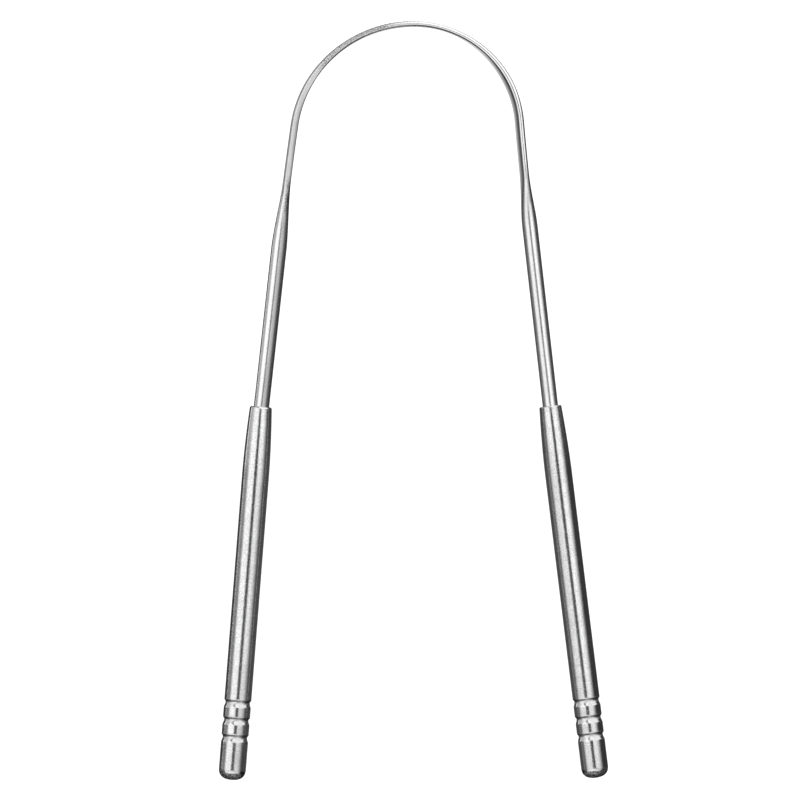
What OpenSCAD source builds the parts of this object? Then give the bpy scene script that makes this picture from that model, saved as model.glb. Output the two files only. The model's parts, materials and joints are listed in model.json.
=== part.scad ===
// Tongue scraper: one steel wire, flattened into a blade and bent into a bow,
// with a hollow closed-end handle swaged onto each of its two ends.
//
// It lies flat. +Z is up, across the width of the blade, +Y runs from the
// handles towards the crown of the bow, and X runs across the bow. The origin
// is under the middle of the whole object.
//
// Each side of the bow is laid out from the crown: a crown arc, a shoulder
// arc, a long easy curve down the leg, and a straight rod whose end lies inside
// the handle. The handle may sit at a slight angle on its rod. Leans are
// measured from the Y axis, and a foot that leans outwards is positive.

/* [Wire] */
// Diameter of the round rod
rod_d = 3.2; // [2.6:0.1:3.6]
// Thickness of the flattened blade at the crown of the bow
crown_t = 1.15; // [0.9:0.05:1.6]
// Thickness of the flattened blade at the legs
leg_t = 1.5; // [1:0.05:1.8]
// Share of the flattened metal that goes into length and not into width
stretch = 0.15; // [0:0.01:0.3]
// Length of rod inside each handle
insert_l = 18; // [10:1:19]

/* [Left side of the bow] */
// Radius of the left crown arc
left_crown_r = 25; // [20:0.1:30]
// Angle of the left crown arc
left_crown_a = 41.2; // [36:0.1:44]
// Radius of the left shoulder arc
left_shoulder_r = 23.8; // [20:0.1:30]
// Angle of the left shoulder arc
left_shoulder_a = 40.7; // [36:0.1:44]
// Length of the left leg, from the shoulder arc to the round rod
left_leg_l = 24.8; // [20:0.1:32]
// Length of the left taper from flat to round
left_taper_l = 13.4; // [8:0.1:16]
// Lean of the left rod
left_rod_lean = 6.3; // [2:0.1:10]
// Length of the left round rod, from its taper to the handle
left_rod_l = 33.1; // [20:0.1:45]
// Lean of the left handle
left_handle_lean = 4.5; // [2:0.1:10]
// Roll of the left leg of the blade, positive where its inner face looks up
left_roll = -4; // [-12:0.5:12]

/* [Right side of the bow] */
// Radius of the right crown arc
right_crown_r = 21.6; // [20:0.1:30]
// Angle of the right crown arc
right_crown_a = 44; // [36:0.1:44]
// Radius of the right shoulder arc
right_shoulder_r = 22; // [20:0.1:30]
// Angle of the right shoulder arc
right_shoulder_a = 41; // [36:0.1:44]
// Length of the right leg, from the shoulder arc to the round rod
right_leg_l = 20.6; // [20:0.1:32]
// Length of the right taper from flat to round
right_taper_l = 9.4; // [8:0.1:16]
// Lean of the right rod
right_rod_lean = 6.5; // [2:0.1:10]
// Length of the right round rod, from its taper to the handle
right_rod_l = 37.9; // [20:0.1:45]
// Lean of the right handle
right_handle_lean = 7; // [2:0.1:10]
// Roll of the right leg of the blade, positive where its inner face looks up
right_roll = 9.5; // [-12:0.5:12]

/* [Handles] */
// Outer diameter of the handle tube
handle_d = 5.6; // [5.2:0.1:6.4]
// Length of a handle, from its mouth to its closed end
handle_l = 76.6; // [60:0.1:90]
// Outer diameter of the mouth
mouth_d = 4.6; // [4.4:0.1:4.8]
// Length of the swaged neck, from the mouth to the full diameter
neck_l = 14; // [10:0.5:18]
// Length of the neck that grips the rod
grip_l = 6; // [3:0.5:8]
// Depth inside the mouth at which the handle's axis crosses the rod's
cross_l = 3.4; // [0:0.1:6]
// Wall thickness of the tube
wall = 0.6; // [0.4:0.05:0.7]
// Radius of the rounded corner of the closed end
end_corner_r = 2; // [1.8:0.1:2.2]
// Radius of the shallow crown of the closed end
end_crown_r = 5; // [4:0.5:8]

/* [Grooves] */
// Number of rolled grooves round each handle
groove_n = 3; // [1:1:5]
// Distance from the closed end to the nearest groove
groove_first = 8.8; // [6:0.1:12]
// Distance between two grooves
groove_pitch = 3.55; // [3:0.05:5]
// Depth of a groove
groove_depth = 0.3; // [0.1:0.01:0.4]
// Radius of the roller that forms a groove
groove_r = 0.9; // [0.7:0.05:1.2]

/* [Hidden] */
$fn = 96;

rod_r = rod_d / 2;
handle_r = handle_d / 2;
mouth_r = mouth_d / 2;
steel = [0.78, 0.78, 0.79];
steel_handle = [0.70, 0.70, 0.71];

// One side of the bow as a list, in this order.
CR = 0; CA = 1; SR = 2; SA = 3; LL = 4; TL = 5; RLEAN = 6; RL = 7; HLEAN = 8; ROLL = 9;
left = [left_crown_r, left_crown_a, left_shoulder_r, left_shoulder_a, left_leg_l,
        left_taper_l, left_rod_lean, left_rod_l, left_handle_lean, left_roll];
right = [right_crown_r, right_crown_a, right_shoulder_r, right_shoulder_a, right_leg_l,
         right_taper_l, right_rod_lean, right_rod_l, right_handle_lean, right_roll];

// ---- the centre line of one side, in its own half plane ----
// u runs outwards from the crown and v runs towards the closed ends. A heading
// of 0 points along u, and a heading of 90 along v.
function deg(x) = x * 180 / PI;
function rad(x) = x * PI / 180;
function mix(a, b, f) = a + (b - a) * f;
function clamp01(x) = max(0, min(1, x));
function smooth(x) = let(c = clamp01(x)) c * c * (3 - 2 * c);

// A point on an arc that leaves p at heading h0 and turns to heading h1.
function arc_point(p, r, h0, h1) =
    [p[0] + r * (sin(h1) - sin(h0)), p[1] + r * (cos(h0) - cos(h1))];
function ahead(p, h, l) = [p[0] + l * cos(h), p[1] + l * sin(h)];

// Arc lengths from the crown to the end of the crown arc, shoulder arc and leg.
function s_crown(k) = k[CR] * rad(k[CA]);
function s_shoulder(k) = s_crown(k) + k[SR] * rad(k[SA]);
function s_leg(k) = s_shoulder(k) + k[LL];

function h_shoulder(k) = k[CA] + k[SA];
function h_rod(k) = 90 - k[RLEAN];
function h_handle(k) = 90 - k[HLEAN];
// How sharply the leg turns, in degrees for each millimetre
function leg_turn(k) = (h_rod(k) - h_shoulder(k)) / k[LL];

function heading(k, s) =
    s <= s_crown(k) ? deg(s / k[CR]) :
    s <= s_shoulder(k) ? k[CA] + deg((s - s_crown(k)) / k[SR]) :
    s <= s_leg(k) ? h_shoulder(k) + leg_turn(k) * (s - s_shoulder(k)) : h_rod(k);

function p_crown(k) = arc_point([0, 0], k[CR], 0, k[CA]);
function p_shoulder(k) = arc_point(p_crown(k), k[SR], k[CA], h_shoulder(k));
function along_leg(k, l) =
    abs(leg_turn(k)) < 0.0005 ? ahead(p_shoulder(k), h_shoulder(k), l)
    : arc_point(p_shoulder(k), deg(1 / leg_turn(k)), h_shoulder(k),
                h_shoulder(k) + leg_turn(k) * l);
function p_leg(k) = along_leg(k, k[LL]);

function place(k, s) =
    s <= s_crown(k) ? arc_point([0, 0], k[CR], 0, heading(k, s)) :
    s <= s_shoulder(k) ? arc_point(p_crown(k), k[SR], k[CA], heading(k, s)) :
    s <= s_leg(k) ? along_leg(k, s - s_shoulder(k)) : ahead(p_leg(k), h_rod(k), s - s_leg(k));

// ---- the rod's end and the mouth of its handle ----
function p_cross(k) = ahead(p_leg(k), h_rod(k), k[RL] + cross_l);
function p_mouth(k) = ahead(p_cross(k), h_handle(k), -cross_l);

// ---- how far the object reaches, which sets the origin ----
// The centre of the shallow crown, and of the rounded corner, of a closed end
corner_off = handle_r - end_corner_r;
corner_back = end_crown_r - sqrt(pow(end_crown_r - end_corner_r, 2) - pow(corner_off, 2));
function reach_v(k) = ahead(p_mouth(k), h_handle(k), handle_l - end_crown_r)[1] + end_crown_r;
function reach_u(k) = ahead(p_mouth(k), h_handle(k), handle_l - corner_back)[0]
    + corner_off * sin(h_handle(k)) + end_corner_r;
x_mid = (reach_u(right) - reach_u(left)) / 2;
y_mid = (crown_t / 2 - max(reach_v(left), reach_v(right))) / 2;

// ---- the flattened section ----
// Flattening keeps the metal, apart from the share that goes into length.
function area(t) = PI / 4 * rod_d * rod_d * (1 - stretch * (1 - t / rod_d));
function width(t) = t + (area(t) - PI / 4 * t * t) / t;

// Thickness along one side: thin at the crown, a little thicker down the leg,
// and a taper out to the full round at the end of the leg.
function taper(k, s) = let(x = clamp01((s - s_leg(k) + k[TL]) / k[TL])) (x + smooth(x)) / 2;
function flat_t(k, s) = mix(crown_t, leg_t, smooth(s / s_shoulder(k)));
function thick(k, s) = mix(flat_t(k, s), rod_d * 0.99, taper(k, s));
function roll(k, s) = k[ROLL] * smooth((s / s_shoulder(k) - 0.2) / 0.6);

// A ring of the section: two half rounds joined by flats. [a, w] is measured
// outwards from the bow and up across the blade.
cap_n = 10;
z_mid = (width(crown_t) - crown_t) / 2 + crown_t / 2 * cos(90 / cap_n);
function ring_2d(t, w) = [
    for (c = [0, 1], i = [0 : cap_n - 1])
        let(a = 180 * c + (i + 0.5) * 180 / cap_n)
        [t / 2 * cos(a), t / 2 * sin(a) + (c == 0 ? 1 : -1) * (w - t) / 2]
];
// The same ring in place on one side, in the half plane's own frame [u, v, z]
function ring_3d(k, s) =
    let(t = thick(k, s), w = width(t), p = place(k, s), h = heading(k, s), r = roll(k, s))
    [for (q = ring_2d(t, w))
        let(o = q[0] * cos(r) + q[1] * sin(r), z = q[1] * cos(r) - q[0] * sin(r))
        [p[0] + o * sin(h), p[1] - o * cos(h), z]];

// Distances from the crown at which the blade has a ring
// and how far the blade's round end is tucked into the rod
tuck = 0.6;
bow_n = 14;
leg_n = 4;
taper_n = 10;
function stations(k) = concat(
    [for (i = [1 : bow_n]) s_shoulder(k) * i / bow_n],
    [for (i = [1 : leg_n]) s_shoulder(k) + (k[LL] - k[TL]) * i / leg_n],
    [for (i = [1 : taper_n]) s_leg(k) - k[TL] + k[TL] * i / taper_n],
    [s_leg(k) + 2 * tuck]);

// From the left rod over the crown to the right rod. The left side is mirrored,
// so its rings run in the other order across the section.
function side_rings(k, sgn) = [for (s = stations(k)) [for (q = ring_3d(k, s)) [sgn * q[0], -q[1], q[2]]]];
function reversed(l) = [for (i = [len(l) - 1 : -1 : 0]) l[i]];
blade_rings = concat(
    reversed(side_rings(left, -1)),
    [[for (q = ring_3d(right, 0)) [q[0], -q[1], q[2]]]],
    side_rings(right, 1));

// A closed surface through a list of rings with the same number of points
module skin(rings) {
    n = len(rings[0]);
    m = len(rings);
    polyhedron(
        points = [for (r = rings, q = r) q],
        faces = concat(
            [[for (i = [0 : n - 1]) i]],
            [for (j = [0 : m - 2], i = [0 : n - 1], f = [0, 1])
                let(a = j * n + i, b = j * n + (i + 1) % n, c = a + n, d = b + n)
                f == 0 ? [a, c, b] : [b, c, d]],
            [[for (i = [n - 1 : -1 : 0]) (m - 1) * n + i]]));
}

// Puts its children on the centre line of one side, running along +Z there.
module on_line(sgn, p, h) {
    translate([sgn * p[0], -p[1], 0])
        rotate([0, 0, sgn > 0 ? -h : h - 180])
            rotate([0, 90, 0]) children();
}

// The straight rod of one side, out to its end inside the handle
module rod(k, sgn) {
    on_line(sgn, ahead(p_leg(k), h_rod(k), tuck), h_rod(k))
        cylinder(h = k[RL] + insert_l - tuck, r = rod_r);
}

module scraper_wire() {
    color(steel)
        translate([-x_mid, -y_mid, z_mid])
            union() {
                skin(blade_rings);
                rod(left, -1);
                rod(right, 1);
            }
}

// Outline of the solid end of a tube of radius r, closed end at y = l: the
// corner has radius c and the shallow crown has radius d.
function end_outline(r, c, d, l, n) =
    let(off = r - c, back = d - sqrt(pow(d - c, 2) - off * off), a1 = asin(off / (d - c)))
    concat(
        [for (i = [0 : n]) let(a = mix(90, a1, i / n)) [off + c * sin(a), l - back + c * cos(a)]],
        [for (i = [1 : 4]) let(a = a1 * (1 - i / 4)) [d * sin(a), l - d + d * cos(a)]]);

// The neck swells from the mouth to the full radius along a convex curve.
neck_n = 8;
function neck_r(f) = mix(mouth_r, handle_r, 1 - pow(1 - f, 1.8));
rim = 0.25;
outer_outline = concat(
    [[0, 0], [mouth_r - rim, 0], [mouth_r - rim * 0.3, rim * 0.3]],
    [for (i = [0 : neck_n]) let(f = i / neck_n) [neck_r(f), mix(rim, neck_l, f)]],
    end_outline(handle_r, end_corner_r, end_crown_r, handle_l, 8));

// The tube's hollow starts behind the neck's grip and widens to the tube's bore.
bore_r = handle_r - wall;
hollow_outline = concat(
    [[0, grip_l], [rod_r * 0.9, grip_l]],
    [[min(bore_r, neck_r(0.75) - wall), mix(grip_l, neck_l, 0.6)], [bore_r, neck_l + 1]],
    end_outline(bore_r, end_corner_r - wall, end_crown_r - wall, handle_l - wall, 6));

// The roller marks, as circles beside the tube that reach r from their centres
module groove_marks(r) {
    for (i = [0 : groove_n - 1])
        translate([handle_r + groove_r - groove_depth,
                   handle_l - groove_first - i * groove_pitch])
            circle(r = r);
}

module handle(k, sgn) {
    translate([-x_mid, -y_mid, z_mid])
        difference() {
            on_line(sgn, p_mouth(k), h_handle(k))
                rotate_extrude()
                    difference() {
                        difference() {
                            polygon(outer_outline);
                            groove_marks(groove_r);
                        }
                        // Inside, the tube keeps its wall behind each rolled groove.
                        difference() {
                            polygon(hollow_outline);
                            groove_marks(groove_r + wall);
                        }
                    }
            // The neck is formed round the rod, so the rod fills this hole.
            rod(k, sgn);
        }
}

module left_handle() {
    color(steel_handle) handle(left, -1);
}

module right_handle() {
    color(steel_handle) handle(right, 1);
}

scraper_wire();
left_handle();
right_handle();
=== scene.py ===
import json
import math

import bpy
import numpy as np
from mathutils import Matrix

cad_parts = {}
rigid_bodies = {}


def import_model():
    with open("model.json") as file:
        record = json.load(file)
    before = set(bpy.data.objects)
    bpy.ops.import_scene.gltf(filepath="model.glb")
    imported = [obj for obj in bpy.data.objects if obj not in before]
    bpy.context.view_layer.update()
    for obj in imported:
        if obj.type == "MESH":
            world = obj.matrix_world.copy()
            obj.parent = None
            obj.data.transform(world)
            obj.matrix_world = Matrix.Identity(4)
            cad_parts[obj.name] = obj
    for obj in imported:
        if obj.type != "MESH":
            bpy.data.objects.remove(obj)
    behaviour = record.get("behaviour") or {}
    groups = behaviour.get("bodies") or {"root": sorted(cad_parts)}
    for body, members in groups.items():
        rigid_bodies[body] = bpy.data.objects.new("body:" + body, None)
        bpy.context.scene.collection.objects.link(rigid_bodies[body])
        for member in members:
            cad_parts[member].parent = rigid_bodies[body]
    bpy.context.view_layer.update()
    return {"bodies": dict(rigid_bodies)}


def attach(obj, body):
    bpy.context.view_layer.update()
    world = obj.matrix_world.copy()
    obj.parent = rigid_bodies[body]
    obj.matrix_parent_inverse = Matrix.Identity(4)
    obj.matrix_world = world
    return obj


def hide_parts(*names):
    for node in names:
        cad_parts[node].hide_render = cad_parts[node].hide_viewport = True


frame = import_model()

# Tongue scraper: one steel wire, flattened on edge into a bow, with a hollow
# tube handle swaged onto each of its ends. Lengths below are in millimetres,
# and the meshes are made in metres.
MM = 0.001

# ---- sizes, the same as in the construction ----
ROD_D = 3.2
CROWN_T, LEG_T = 1.15, 1.5
STRETCH = 0.15
INSERT_L = 18.0
HANDLE_R, MOUTH_R, HANDLE_L = 2.8, 2.3, 76.6
NECK_L, GRIP_L, CROSS_L, WALL = 14.0, 6.0, 3.4, 0.6
END_CORNER_R, END_CROWN_R = 2.0, 5.0
GROOVE_N, GROOVE_FIRST, GROOVE_PITCH, GROOVE_DEPTH = 3, 8.8, 3.55, 0.3


class Side:
    """One side of the bow in its own half plane: u outwards, v towards the closed ends."""

    def __init__(self, sgn, cr, ca, sr, sa, ll, tl, rod_lean, rl, handle_lean, roll, flank):
        self.flank = flank
        self.sgn, self.cr, self.sr, self.ll, self.tl, self.rl = sgn, cr, sr, ll, tl, rl
        self.ca, self.sa = math.radians(ca), math.radians(sa)
        self.h_rod = math.radians(90 - rod_lean)
        self.h_handle = math.radians(90 - handle_lean)
        self.roll = math.radians(roll)
        self.s_crown = cr * self.ca
        self.s_shoulder = self.s_crown + sr * self.sa
        self.s_leg = self.s_shoulder + ll
        self.turn = (self.h_rod - self.ca - self.sa) / ll
        self.s_end = self.s_leg + rl + INSERT_L

    def line(self, s):
        """Place and heading at each distance s from the crown."""
        h_sh = self.ca + self.sa
        h = np.where(s <= self.s_crown, s / self.cr,
            np.where(s <= self.s_shoulder, self.ca + (s - self.s_crown) / self.sr,
            np.where(s <= self.s_leg, h_sh + self.turn * (s - self.s_shoulder), self.h_rod)))

        def arc(p, r, h0, h1):
            return p[0] + r * (np.sin(h1) - np.sin(h0)), p[1] + r * (np.cos(h0) - np.cos(h1))

        crown_end = arc((0, 0), self.cr, 0, self.ca)
        shoulder_end = arc(crown_end, self.sr, self.ca, h_sh)
        leg_end = arc(shoulder_end, 1 / self.turn, h_sh, self.h_rod)
        ahead = s - self.s_leg
        a, b, c = arc((0, 0), self.cr, 0, h), arc(crown_end, self.sr, self.ca, h), arc(shoulder_end, 1 / self.turn, h_sh, h)
        d = leg_end[0] + ahead * math.cos(self.h_rod), leg_end[1] + ahead * math.sin(self.h_rod)
        pick = [np.where(s <= self.s_crown, a[i], np.where(s <= self.s_shoulder, b[i],
                np.where(s <= self.s_leg, c[i], d[i]))) for i in (0, 1)]
        return pick[0], pick[1], h

    def mouth(self):
        """The centre of the handle's mouth, and the point inside it where its axis crosses the rod's."""
        u, v, _ = self.line(np.array([self.s_leg + self.rl + CROSS_L]))
        cross = np.array([u[0], v[0]])
        return cross - CROSS_L * np.array([math.cos(self.h_handle), math.sin(self.h_handle)]), cross


LEFT = Side(-1, 25, 41.2, 23.8, 40.7, 24.8, 13.4, 6.3, 33.1, 4.5, -4, 1.5)
RIGHT = Side(1, 21.6, 44, 22, 41, 20.6, 9.4, 6.5, 37.9, 7, 9.5, 5)


def smooth(x):
    c = np.clip(x, 0, 1)
    return c * c * (3 - 2 * c)


def area(t):
    return math.pi / 4 * ROD_D**2 * (1 - STRETCH * (1 - t / ROD_D))


def width(t):
    return t + (area(t) - math.pi / 4 * t * t) / t


# The origin, under the middle of the whole object
OFF = HANDLE_R - END_CORNER_R
BACK = END_CROWN_R - math.sqrt((END_CROWN_R - END_CORNER_R) ** 2 - OFF**2)


def reach(k):
    m, _ = k.mouth()
    c, s = math.cos(k.h_handle), math.sin(k.h_handle)
    v = m[1] + (HANDLE_L - END_CROWN_R) * s + END_CROWN_R
    u = m[0] + (HANDLE_L - BACK) * c + OFF * s + END_CORNER_R
    return u, v


(u_l, v_l), (u_r, v_r) = reach(LEFT), reach(RIGHT)
X_MID, Y_MID = (u_r - u_l) / 2, (CROWN_T / 2 - max(v_l, v_r)) / 2
Z_MID = (width(CROWN_T) - CROWN_T) / 2 + CROWN_T / 2 * math.cos(math.radians(9))


def placed(k, u, v, z):
    return np.stack([k.sgn * u - X_MID, -v - Y_MID, z + Z_MID], axis=-1) * MM


# ---- meshes ----
def make(name, points, faces, uv, node, material):
    # six times the enclosed volume: where it is negative, the faces look inwards
    tri = np.array([(f[0], f[i], f[i + 1]) for f in faces for i in range(1, len(f) - 1)])
    a, b, c = (points[tri[:, i]] / MM for i in range(3))
    if np.einsum("ij,ij->", a, np.cross(b, c)) < 0:
        faces = [f[::-1] for f in faces]
    mesh = bpy.data.meshes.new(name)
    mesh.from_pydata(points.tolist(), [], faces)
    mesh.validate()
    layer = mesh.uv_layers.new(name="along")
    loops = np.empty(len(mesh.loops), dtype=np.int32)
    mesh.loops.foreach_get("vertex_index", loops)
    layer.data.foreach_set("uv", uv[loops].astype(np.float32).ravel())
    mesh.polygons.foreach_set("use_smooth", [True] * len(mesh.polygons))
    mesh.materials.append(material)
    mesh.update()
    obj = bpy.data.objects.new(name, mesh)
    bpy.context.scene.collection.objects.link(obj)
    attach(obj, next(iter(frame["bodies"])))
    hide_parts(node)
    return obj


def skin(rings, n, first, last):
    """Faces of a closed surface over rings of n points, with one more point at each end."""
    faces = []
    for j in range(rings - 1):
        for i in range(n):
            a, b = j * n + i, j * n + (i + 1) % n
            faces.append((a, b, b + n, a + n))
    for i in range(n):
        a, b = i, (i + 1) % n
        faces.append((first, b, a))
        a, b = (rings - 1) * n + i, (rings - 1) * n + (i + 1) % n
        faces.append((last, a, b))
    return faces


def section(t, w, be, n, flat):
    """n points round a flattened bar t thick and w wide, from the middle of its lower edge. Its
    faces are slightly crowned, by the angle be each way, and run into round edges, which go over
    to flatter ones as flat goes from 0 to 1. Where t is w the bar is round."""
    sb, cb = math.sin(be), math.cos(be)
    q = (1 - sb) / cb
    flank_r = (w / 2 - t / 2 * q) / (sb - (1 - cb) * q)
    edge_r = (t / 2 - flank_r * (1 - cb)) / cb
    edge_z = w / 2 - edge_r
    # direction of the normal against length along the outline, from straight down, once round
    turn = np.array([0, math.pi / 2 - be, 2 * be, math.pi - 2 * be, 2 * be, math.pi / 2 - be])
    knots = np.cumsum(turn) - math.pi / 2
    lengths = np.cumsum(turn * np.array([0, edge_r, flank_r, edge_r, flank_r, edge_r]))
    # points are shared out half by length and half by turning
    share = 0.5 * lengths / lengths[-1] + 0.5 * (knots - knots[0]) / (2 * math.pi)
    th = np.interp(np.arange(n) / n, share, knots)
    side = np.where(np.abs(th) < be, 1, np.where(np.abs(th - math.pi) < be, -1, 0))
    up = np.where(np.sin(th) > 0, 1, -1)
    past = np.arcsin(np.clip(np.abs(np.sin(th)), 0, 1)) - be
    phi = np.clip(past / (math.pi / 2 - be), 0, 1) * math.pi / 2
    root_a, root_z = edge_r * cb, edge_z + edge_r * sb
    flat_a = np.sign(np.cos(th)) * root_a * np.clip(np.cos(phi), 0, 1) ** 0.59
    flat_z = up * (root_z + (w / 2 - root_z) * np.sin(phi) ** 0.59)
    round_a, round_z = edge_r * np.cos(th), up * edge_z + edge_r * np.sin(th)
    a = np.where(side == 0, round_a + (flat_a - round_a) * flat, side * (t / 2 - flank_r) + flank_r * np.cos(th))
    z = np.where(side == 0, round_z + (flat_z - round_z) * flat, flank_r * np.sin(th))
    return a, z


def blurred(values, s, width_mm):
    """Rounds off the corners of a curve over s."""
    step = s[1] - s[0]
    k = max(1, int(round(3 * width_mm / step)))
    x = np.arange(-k, k + 1) * step
    g = np.exp(-0.5 * (x / width_mm) ** 2)
    padded = np.concatenate([np.full(k, values[0]), values, np.full(k, values[-1])])
    return np.convolve(padded, g / g.sum(), mode="valid")


AROUND = 128


def wire(material):
    rings, alongs = [], []
    for k in (LEFT, RIGHT):
        fine = np.arange(0, k.s_leg + 8, 0.05)
        x = np.clip((fine - k.s_leg + k.tl) / k.tl, 0, 1)
        flat_t = CROWN_T + (LEG_T - CROWN_T) * smooth(fine / k.s_shoulder)
        thick = flat_t + (ROD_D - flat_t) * (x + smooth(x)) / 2
        thick = np.where(fine > k.s_shoulder * 0.5, blurred(thick, fine, 0.7), thick)
        s = np.concatenate([np.arange(0, k.s_leg + 4, 0.35), np.linspace(k.s_leg + 4.2, k.s_end - 0.25, 46)])
        t = np.interp(s, fine, thick)
        t[s > k.s_leg + 3] = ROD_D
        w = width(t)
        # the cut end of the wire, inside the handle, has a small chamfer
        s = np.append(s, k.s_end)
        t, w = np.append(t, ROD_D - 0.5), np.append(w, ROD_D - 0.5)
        u, v, h = k.line(s)
        roll = (k.roll * smooth((s / k.s_shoulder - 0.2) / 0.6))[:, None]
        flank = np.radians(2 + k.flank * smooth(s / k.s_shoulder))
        flat = 0.9 * smooth((s - 18) / 8) * (1 - smooth((s - 46) / 4)) * (k is LEFT)
        a, z = (np.array(x) for x in zip(*(section(ti, wi, bi, AROUND, fi) for ti, wi, bi, fi in zip(t, w, flank, flat))))
        o, up = a * np.cos(roll) + z * np.sin(roll), z * np.cos(roll) - a * np.sin(roll)
        # o runs outwards from the bow, across the line's heading
        ring = placed(k, u[:, None] + o * np.sin(h)[:, None], v[:, None] - o * np.cos(h)[:, None], up)
        rings.append(ring)
        alongs.append(s * k.sgn)
    # From the left rod over the crown to the right rod: the crown's ring is taken once.
    grid = np.concatenate([rings[0][::-1], rings[1][1:]])
    along = np.concatenate([alongs[0][::-1], alongs[1][1:]])
    n_rings = len(grid)
    points = grid.reshape(-1, 3)
    ends = [grid[0].mean(axis=0), grid[-1].mean(axis=0)]
    points = np.vstack([points, ends])
    faces = skin(n_rings, AROUND, n_rings * AROUND, n_rings * AROUND + 1)
    uv = np.zeros((len(points), 2))
    uv[: n_rings * AROUND, 0] = np.tile(np.arange(AROUND) / AROUND * 10.0, n_rings)
    uv[: n_rings * AROUND, 1] = np.repeat(along, AROUND)
    uv[-2:, 1] = along[0], along[-1]
    return make("wire_bow_and_rods", points, faces, uv, "scraper_wire", material)


def outer_profile(rim):
    """Distance along the handle and radius of its outside, from the mouth's inner lip to the closed end."""
    # the mouth flares a little round the rod, to a small round lip, a flat face and the outer rim
    lip, flare = 0.05, 0.10
    pts = [(0.62, ROD_D / 2 + 0.004), (0.30, ROD_D / 2 + 0.004 + flare * 0.75), (lip + 0.02, ROD_D / 2 + 0.004 + flare)]
    for a in np.linspace(0, 90, 6)[1:]:
        pts.append((lip - lip * math.sin(math.radians(a)), ROD_D / 2 + 0.004 + flare + lip - lip * math.cos(math.radians(a))))
    for a in np.linspace(0, 90, 13):
        r = MOUTH_R - rim + rim * math.sin(math.radians(a))
        pts.append((rim - rim * math.cos(math.radians(a)), r))
    ys = np.concatenate([np.linspace(rim, NECK_L, 48)[1:],
                         np.linspace(NECK_L, HANDLE_L - GROOVE_FIRST - 2 * GROOVE_PITCH - 2.4, 34)[1:],
                         np.arange(HANDLE_L - GROOVE_FIRST - 2 * GROOVE_PITCH - 2.3, HANDLE_L - BACK - 0.02, 0.07)])
    for y in ys:
        r = HANDLE_R
        if y < NECK_L:
            f = (y - rim) / (NECK_L - rim)
            r = MOUTH_R + (HANDLE_R - MOUTH_R) * (1 - (1 - f) ** 1.8)
        for i in range(GROOVE_N):
            d = y - (HANDLE_L - GROOVE_FIRST - i * GROOVE_PITCH)
            r -= groove(d)
        pts.append((y, r))
    a1 = math.asin(OFF / (END_CROWN_R - END_CORNER_R))
    for a in np.linspace(math.pi / 2, a1, 22):
        pts.append((HANDLE_L - BACK + END_CORNER_R * math.cos(a), OFF + END_CORNER_R * math.sin(a)))
    for a in np.linspace(a1, 0, 9)[1:-1]:
        pts.append((HANDLE_L - END_CROWN_R + END_CROWN_R * math.cos(a), END_CROWN_R * math.sin(a)))
    return pts


def groove(d):
    """Depth of a rolled groove at d from its middle: steep on the mouth's side, easier on the other."""
    steep, easy = 0.62, 1.15
    x = d / steep if d < 0 else d / easy
    if abs(x) >= 1:
        return 0.0
    return GROOVE_DEPTH * (0.5 + 0.5 * math.cos(math.pi * x))


def handle(k, name, node, rim, material):
    n = 112
    outer = outer_profile(rim)
    bore = [(GRIP_L, ROD_D / 2 + 0.004), (3.0, ROD_D / 2 + 0.004)]
    r_in = HANDLE_R - WALL
    inside = [(HANDLE_L - WALL - 0.3, 0.8), (HANDLE_L - WALL - BACK, r_in - 0.35), (HANDLE_L - WALL - BACK - 1.2, r_in),
              (HANDLE_L - 18, r_in), (NECK_L + 1, r_in), (GRIP_L + 4.5, 1.95), (GRIP_L, 1.44)]
    profile = inside + bore + outer
    mouth, cross = k.mouth()
    ax = np.array([math.cos(k.h_handle), math.sin(k.h_handle)])
    side = np.array([math.sin(k.h_handle), -math.cos(k.h_handle)])
    rod_ax = np.array([math.cos(k.h_rod), math.sin(k.h_rod)])
    y = np.array([p[0] for p in profile])
    r = np.array([p[1] for p in profile])
    phi = np.arange(n) / n * 2 * math.pi + math.pi
    centre = mouth[None, :] + y[:, None] * ax[None, :]
    # the bore and the mouth's inner lip follow the rod, which stands at a slight angle
    on_rod = cross[None, :] + ((y - CROSS_L)[:, None]) * rod_ax[None, :]
    keep = np.clip((r - ROD_D / 2 - 0.16) / 0.25, 0, 1)
    keep[: len(inside) - 1] = 1
    keep[len(inside) - 1] = 0
    keep[y > GRIP_L + 1] = 1
    keep = keep[:, None]
    centre = centre * keep + on_rod * (1 - keep)
    o = r[:, None] * np.sin(phi)[None, :]
    z = r[:, None] * np.cos(phi)[None, :]
    u = centre[:, 0:1] + o * side[0]
    v = centre[:, 1:2] + o * side[1]
    grid = placed(k, u, v, z)
    m = len(profile)
    first = placed(k, *[np.array([c]) for c in (mouth + (HANDLE_L - WALL - 0.25) * ax)], np.array([0.0]))
    last = placed(k, *[np.array([c]) for c in (mouth + HANDLE_L * ax)], np.array([0.0]))
    points = np.vstack([grid.reshape(-1, 3), first, last])
    faces = skin(m, n, m * n, m * n + 1)
    uv = np.zeros((len(points), 2))
    uv[: m * n, 0] = np.tile(np.arange(n) / n * 2 * math.pi * HANDLE_R, m)
    uv[: m * n, 1] = np.repeat(y, n)
    uv[-1, 1] = HANDLE_L
    return make(name, points, faces, uv, node, material)


# ---- materials ----
def link(tree, a, b):
    tree.links.new(a, b)


def add(tree, kind, **values):
    n = tree.nodes.new(kind)
    for key, value in values.items():
        if key in n.inputs:
            n.inputs[key].default_value = value
        else:
            setattr(n, key, value)
    return n


def math_node(tree, op, a, b=None, clamp=False):
    n = tree.nodes.new("ShaderNodeMath")
    n.operation, n.use_clamp = op, clamp
    for socket, value in zip(n.inputs, (a, b)):
        if value is None:
            continue
        if isinstance(value, (int, float)):
            socket.default_value = value
        else:
            link(tree, value, socket)
    return n.outputs[0]


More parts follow.
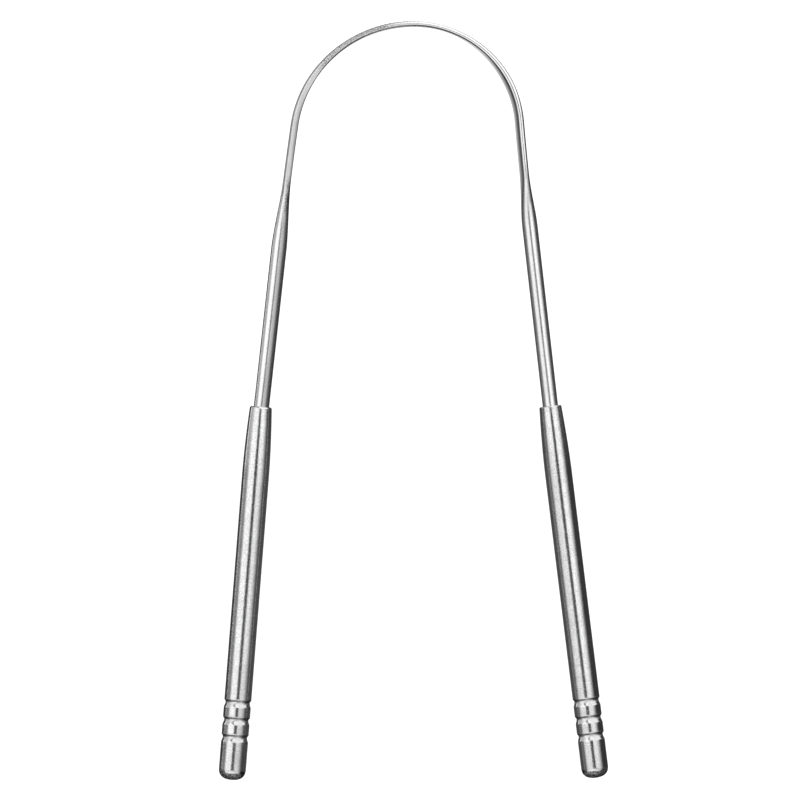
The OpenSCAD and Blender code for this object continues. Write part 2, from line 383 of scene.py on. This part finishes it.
def remap(tree, value, lo, hi, to_lo, to_hi):
    n = tree.nodes.new("ShaderNodeMapRange")
    link(tree, value, n.inputs["Value"])
    for name, x in (("From Min", lo), ("From Max", hi), ("To Min", to_lo), ("To Max", to_hi)):
        n.inputs[name].default_value = x
    return n.outputs["Result"]


def fade(tree, value, lo, hi, to_lo=0.0, to_hi=1.0):
    """A smooth step from to_lo at lo to to_hi at hi."""
    n = tree.nodes.new("ShaderNodeMapRange")
    n.interpolation_type = "SMOOTHSTEP"
    link(tree, value, n.inputs["Value"])
    for name, x in (("From Min", lo), ("From Max", hi), ("To Min", to_lo), ("To Max", to_hi)):
        n.inputs[name].default_value = x
    return n.outputs["Result"]


def times(tree, *values):
    out = values[0]
    for v in values[1:]:
        out = math_node(tree, "MULTIPLY", out, v)
    return out


def plus(tree, *values):
    out = values[0]
    for v in values[1:]:
        out = math_node(tree, "ADD", out, v)
    return out


def less(tree, a, b):
    return math_node(tree, "SUBTRACT", a, b)


def steel(name, lean, tint, rough, grain, lines, zone=None):
    """Bright stainless steel: a fine speckled grain, faint drawing lines along the axis, pits and light
    scuffs. zone(tree, u, v) may give places of another finish or of painted shade: a factor for the colour, a mask and
    a value for the roughness, and a mask and a height for scratches."""
    mat = bpy.data.materials.new(name)
    mat.use_nodes = True
    t = mat.node_tree
    bsdf = t.nodes["Principled BSDF"]
    bsdf.inputs["Metallic"].default_value = 1.0
    coord = t.nodes.new("ShaderNodeTexCoord")
    # millimetres, turned so that Y runs along the axis
    mm = add(t, "ShaderNodeMapping")
    mm.inputs["Rotation"].default_value = (0, 0, math.radians(lean))
    mm.inputs["Scale"].default_value = (1000, 1000, 1000)
    link(t, coord.outputs["Object"], mm.inputs["Vector"])

    def noise(vector, scale, detail, roughness, stretch=None, lacunarity=2.0):
        if stretch:
            s = add(t, "ShaderNodeMapping")
            s.inputs["Scale"].default_value = stretch
            link(t, vector, s.inputs["Vector"])
            vector = s.outputs["Vector"]
        n = add(t, "ShaderNodeTexNoise", Scale=scale, Detail=detail, Roughness=roughness, Lacunarity=lacunarity)
        link(t, vector, n.inputs["Vector"])
        return n.outputs["Fac"]

    vec = mm.outputs["Vector"]
    fine = noise(vec, 3.4, 3.0, 0.65)
    coarse = noise(vec, 0.35, 4.0, 0.6)
    drawn = noise(vec, 5.5, 3.0, 0.7, stretch=(1, 0.035, 1))
    scuff = noise(vec, 1.1, 5.0, 0.75, stretch=(1, 0.45, 1))
    pits = t.nodes.new("ShaderNodeTexVoronoi")
    pits.feature = "F1"
    pits.inputs["Scale"].default_value = 1.9
    link(t, vec, pits.inputs["Vector"])
    pit = remap(t, pits.outputs["Distance"], 0.03, 0.14, 1.0, 0.0)

    # reflectance: grain and broad mottling, a little darker in the pits
    shade = plus(t, times(t, fine, 0.55), times(t, coarse, 0.25), times(t, drawn, 0.20))
    shade = less(t, shade, times(t, pit, 0.10))
    lo, hi = tint
    level = remap(t, shade, 0.32, 0.68, lo, hi)
    r = plus(t, times(t, scuff, rough[1] - rough[0]), times(t, pit, 0.08))
    r = math_node(t, "ADD", r, rough[0])
    height = plus(t, times(t, fine, grain), times(t, drawn, lines), times(t, scuff, grain * 1.2))
    height = less(t, height, times(t, pit, grain * 0.5))

    if zone:
        uv = t.nodes.new("ShaderNodeUVMap")
        uv.uv_map = "along"
        sep = t.nodes.new("ShaderNodeSeparateXYZ")
        link(t, uv.outputs["UV"], sep.inputs[0])
        factor, mask, dull_rough, scratched, scratch = zone(t, sep.outputs[0], sep.outputs[1], noise, vec)
        level = times(t, level, factor)
        r = plus(t, r, times(t, mask, math_node(t, "SUBTRACT", dull_rough, r)))
        height = plus(t, height, times(t, scratched, scratch, 0.010))
        level = times(t, level, math_node(t, "ADD", 1.0, times(t, scratched, remap(t, scratch, 0.40, 0.60, -0.7, 0.9))))
        level = math_node(t, "MINIMUM", level, 1.0)

    tone = t.nodes.new("ShaderNodeCombineColor")
    link(t, level, tone.inputs[0])
    link(t, level, tone.inputs[1])
    link(t, times(t, level, 1.004), tone.inputs[2])
    link(t, tone.outputs[0], bsdf.inputs["Base Color"])
    link(t, r, bsdf.inputs["Roughness"])
    bump = t.nodes.new("ShaderNodeBump")
    bump.inputs["Strength"].default_value = 1.0
    bump.inputs["Distance"].default_value = MM
    link(t, height, bump.inputs["Height"])
    link(t, bump.outputs["Normal"], bsdf.inputs["Normal"])
    return mat


def ground_end_and_painted_shade(length, shade_side_sign):
    """The closed end of a handle, ground dull over its last length mm, with crossing scratches; its colour there is
    darker, partly for the ground finish and partly painted shade. Near that end one side of the tube's top is a little
    darker, painted shade: -1 is the bow's inside, 1 its outside."""
    def zone(t, u, v, noise, vec):
        ragged = times(t, less(t, noise(vec, 1.6, 3.0, 0.6), 0.5), 0.5)
        edge = HANDLE_L - length
        mask = fade(t, plus(t, v, ragged), edge - 0.10, edge + 0.12)
        a = noise(vec, 2.6, 3.0, 0.7, stretch=(1, 0.3, 1))
        b = noise(vec, 2.2, 3.0, 0.7, stretch=(0.35, 1, 1))
        rolled = 0.0
        for i in range(GROOVE_N):
            g = HANDLE_L - GROOVE_FIRST - i * GROOVE_PITCH
            rolled = plus(t, times(t, fade(t, v, g - 0.9, g - 0.5), fade(t, v, g + 0.2, g + 0.6, 1.0, 0.0)), rolled)
        dull = plus(t, 0.32, times(t, mask, 0.18))
        beyond = times(t, less(t, u, math.pi * HANDLE_R), shade_side_sign)
        # painted shade: one side of the tube's top, darker towards the closed end
        painted_side_shade = times(t, fade(t, beyond, -0.2, 0.6), fade(t, v, 48.0, 64.0))
        # colour factor: the ground end darker, partly finish and partly painted shade, times the painted side shade
        return times(t, darker(t, mask, 0.50), darker(t, painted_side_shade, 0.86)), math_node(t, "MAXIMUM", mask, rolled), dull, mask, less(t, times(t, plus(t, a, b), 0.8), 0.3)
    return zone


def darker(t, mask, to):
    """A factor that goes from 1 to the value to as the mask goes from 0 to 1."""
    return math_node(t, "SUBTRACT", 1.0, times(t, mask, 1 - to))


def wire_marks_and_painted_shade(t, u, v, noise, vec):
    """The wire's marks from forming, and painted shade. The crown is a little duller than the rods, and the right bow
    is polished. On the left: the upper inside of the leg and rod is duller, and darker with painted shade, the upper
    edge of the shoulder is filed, with short marks across its outer half, the blade is satin, and a hatched flat face
    lies in the taper. On the right: a dull patch on top of the taper, darker with painted shade."""
    wander = times(t, less(t, noise(vec, 0.5, 2.0, 0.5, stretch=(1, 0.2, 1)), 0.5), 0.4)
    w = plus(t, u, wander)

    def patch(x, x0, x1, x2, x3, y0, y1, y2, y3):
        return times(t, fade(t, x, x0, x1), fade(t, x, x2, x3, 1.0, 0.0), fade(t, v, y0, y1), fade(t, v, y2, y3, 1.0, 0.0))

    # painted shade: the upper inside of the left leg and rod, darker
    painted_inner_shade = patch(w, 5.0, 5.25, 7.2, 7.6, -900.0, -899.0, -34.0, -24.0)
    filed = patch(u, 3.3, 3.7, 5.2, 5.6, -25.0, -19.0, -6.0, -3.0)
    satin = patch(u, -2.0, -1.0, 11.0, 12.0, -50.0, -45.0, -18.0, -10.0)
    bow = patch(u, -2.0, -1.0, 11.0, 12.0, -18.0, -10.0, -2.0, 5.0)
    polished = patch(u, -2.0, -1.0, 11.0, 12.0, -1.0, 6.0, 40.0, 46.0)
    hatched = patch(w, 4.7, 5.1, 6.4, 7.0, -54.0, -52.0, -47.5, -44.5)
    # painted shade: a darker patch on top of the right taper
    painted_taper_shade = patch(w, 2.5, 2.8, 4.7, 5.1, 40.0, 43.0, 48.5, 50.0)
    factor = times(t, darker(t, painted_inner_shade, 0.56), darker(t, filed, 0.66), darker(t, satin, 0.92),
                   darker(t, hatched, 0.52), darker(t, painted_taper_shade, 0.60))
    mask = painted_inner_shade
    for m in (filed, satin, bow, polished, hatched, painted_taper_shade):
        mask = math_node(t, "MAXIMUM", mask, m)
    dull = less(t, plus(t, 0.27, times(t, satin, 0.18)), times(t, polished, less(t, 1.0, painted_taper_shade), 0.15))
    scratched = math_node(t, "MAXIMUM", times(t, filed, 0.8), hatched)
    return factor, mask, dull, scratched, noise(vec, 4.4, 3.0, 0.7)


wire_steel = steel("wire_steel", 0.0, (0.76, 1.02), (0.18, 0.27), 0.0042, 0.0024, wire_marks_and_painted_shade)
left_steel = steel("left_handle_steel", -4.5, (0.55, 0.97), (0.06, 0.14), 0.0145, 0.0024, ground_end_and_painted_shade(1.45, -1))
right_steel = steel("right_handle_steel", 7.0, (0.55, 0.97), (0.06, 0.14), 0.0145, 0.0024, ground_end_and_painted_shade(1.50, 1))

wire(wire_steel)
handle(LEFT, "left_handle_tube", "left_handle", 0.44, left_steel)
handle(RIGHT, "right_handle_tube", "right_handle", 0.25, right_steel)

# ---- floor ----
floor_mesh = bpy.data.meshes.new("floor")
floor_mesh.from_pydata([(-4, -4, 0), (4, -4, 0), (4, 4, 0), (-4, 4, 0)], [], [(0, 1, 2, 3)])
floor = bpy.data.objects.new("floor", floor_mesh)
floor.location.z = -0.00002
bpy.context.scene.collection.objects.link(floor)
paper = bpy.data.materials.new("white_sweep")
paper.use_nodes = True
pt = paper.node_tree
pb = pt.nodes["Principled BSDF"]
pb.inputs["Base Color"].default_value = (0.60, 0.60, 0.60, 1)
pb.inputs["Roughness"].default_value = 0.9
pb.inputs["Specular IOR Level"].default_value = 0.1
pb.inputs["Emission Color"].default_value = (1, 1, 1, 1)
pb.inputs["Emission Strength"].default_value = 0.90
floor_mesh.materials.append(paper)
floor.visible_glossy = False

# ---- studio: a dark room with soft boxes and cards, set out by direction ----
world = bpy.data.worlds.new("studio")
bpy.context.scene.world = world
world.use_nodes = True
wt = world.node_tree
wt.nodes.clear()
out = wt.nodes.new("ShaderNodeOutputWorld")
tc = wt.nodes.new("ShaderNodeTexCoord")
sep = wt.nodes.new("ShaderNodeSeparateXYZ")
link(wt, tc.outputs["Generated"], sep.inputs[0])
X, Y, Z = sep.outputs
DEG = 180 / math.pi
# across: degrees from straight up towards +X. rise: degrees towards +Y. round: degrees from +X
# towards +Y. tilt: degrees from straight up. All of them are directions of the room.
across = times(wt, math_node(wt, "ARCTAN2", X, Z), DEG)
rise = times(wt, math_node(wt, "ARCSINE", Y), DEG)
round_ = times(wt, math_node(wt, "ARCTAN2", Y, X), DEG)
tilt = times(wt, math_node(wt, "ARCCOSINE", Z), DEG)
off_centre = math_node(wt, "ABSOLUTE", across)


def between(value, a, b, c, d):
    """0 below a, 1 from b to c, 0 above d."""
    return times(wt, fade(wt, value, a, b), fade(wt, value, c, d, 1.0, 0.0))


# the two long soft boxes, one each side of the camera: the right one hangs lower towards +Y
right_end = times(wt, less(wt, across, remap(wt, rise, 8, 25, 34, 84)), remap(wt, rise, 8, 25, 1 / 48, 1 / 26))
boxes = times(wt, fade(wt, across, -78, -55), fade(wt, right_end, 0, 1, 1.0, 0.0))
# the front box joins them over the +Y side, and is a little weaker low down
front = times(wt, fade(wt, rise, 42, 60), fade(wt, tilt, 84, 98, 1.0, 0.80))
boxes = math_node(wt, "MAXIMUM", boxes, front)
strength = times(wt, fade(wt, rise, -54, -36),
                 plus(wt, remap(wt, rise, -6, 1.5, 0.78, 1.16), fade(wt, rise, -20, -11, 0.28, 0.0)))
boxes = times(wt, boxes, strength)
# the camera, its mount, the arm that holds it and the dark stand at the arm's foot
camera_dark = times(wt, fade(wt, plus(wt, off_centre, remap(wt, rise, -2.2, -0.4, -3, 0)), 8.0, 15.0, 1.0, 0.0),
                    between(rise, -9, -5.5, 9, 13), 0.97)
mount_dark = times(wt, fade(wt, off_centre, 2.5, 5.0, 1.0, 0.0), between(rise, 7, 10, 20, 28), 0.35)
along_arm = less(wt, round_, remap(wt, tilt, 10, 90, 131, 104))
arm = times(wt, between(along_arm, -14, -6, 6, 14), between(tilt, 8, 16, 110, 125), fade(wt, tilt, 20, 80, 0.74, 0.80))
stand = times(wt, between(round_, 88, 98, 136, 150), between(tilt, 66, 86, 130, 142), 0.80)
strap = times(wt, between(across, 10, 15, 24, 30), between(rise, -24, -18, -11, -8), 0.45)
open_ = 1.0
for dark in (math_node(wt, "MAXIMUM", camera_dark, mount_dark), math_node(wt, "MAXIMUM", arm, stand), strap):
    open_ = times(wt, math_node(wt, "SUBTRACT", 1.0, dark), open_)
boxes = times(wt, boxes, open_)
# a grey card and a strip light low on the left, brighter towards +Y
card = times(wt, between(across, -98, -92, -75, -65),
             plus(wt, fade(wt, rise, 1.85, 4.05, 0.08, 0.28), fade(wt, rise, 5, 8, 0.0, 0.32)))
slid = plus(wt, across, remap(wt, rise, 2.85, 4.8, 0, 12))
strip = times(wt, between(slid, -107, -100, -93, -86), fade(wt, rise, 2.35, 4.8, 0.08, 1.0))
# a card low on the right, past the camera's side
low_card = times(wt, between(across, 82, 95, 150, 165), between(rise, 9.5, 11.5, 14, 20), 0.10)
# the pale table, as the steepest faces see it
table = times(wt, fade(wt, tilt, 145, 172), 0.62)
room = times(wt, fade(wt, rise, -6, 3, 0.085, 0.045), fade(wt, rise, -15, -9, 0.15, 1.0))
# a card and a weak fill low on the -Y side, which the tool's back reflects
back = times(wt, fade(wt, rise, -66, -56, 1.0, 0.0), fade(wt, tilt, 92, 104, 1.0, 0.0),
             plus(wt, times(wt, between(across, 14, 24, 62, 78), 0.70), 0.12))
total = plus(wt, boxes, card, strip, low_card, table, room, back)
lit = wt.nodes.new("ShaderNodeBackground")
link(wt, total, lit.inputs["Color"])
plain = wt.nodes.new("ShaderNodeBackground")
plain.inputs["Color"].default_value = (1, 1, 1, 1)
path = wt.nodes.new("ShaderNodeLightPath")
shader = wt.nodes.new("ShaderNodeMixShader")
link(wt, path.outputs["Is Camera Ray"], shader.inputs["Fac"])
link(wt, lit.outputs[0], shader.inputs[1])
link(wt, plain.outputs[0], shader.inputs[2])
link(wt, shader.outputs[0], out.inputs["Surface"])

# ---- camera: straight above, with a long lens ----
PX = 0.2045  # millimetres for each pixel of an 800 x 800 picture
DISTANCE = 2400.0
cam_data = bpy.data.cameras.new("camera")
cam_data.sensor_width = 36.0
cam_data.lens = 36.0 * DISTANCE / (800 * PX)
cam_data.clip_start, cam_data.clip_end = 0.05, 20
cam = bpy.data.objects.new("camera", cam_data)
cam.location = ((400 - 413.5) * PX * MM, (400.65 - 400) * PX * MM, (DISTANCE + 3.3) * MM)
cam.rotation_euler = (0, 0, 0)
bpy.context.scene.collection.objects.link(cam)
bpy.context.scene.camera = cam
bpy.context.scene.view_settings.view_transform = "Standard"
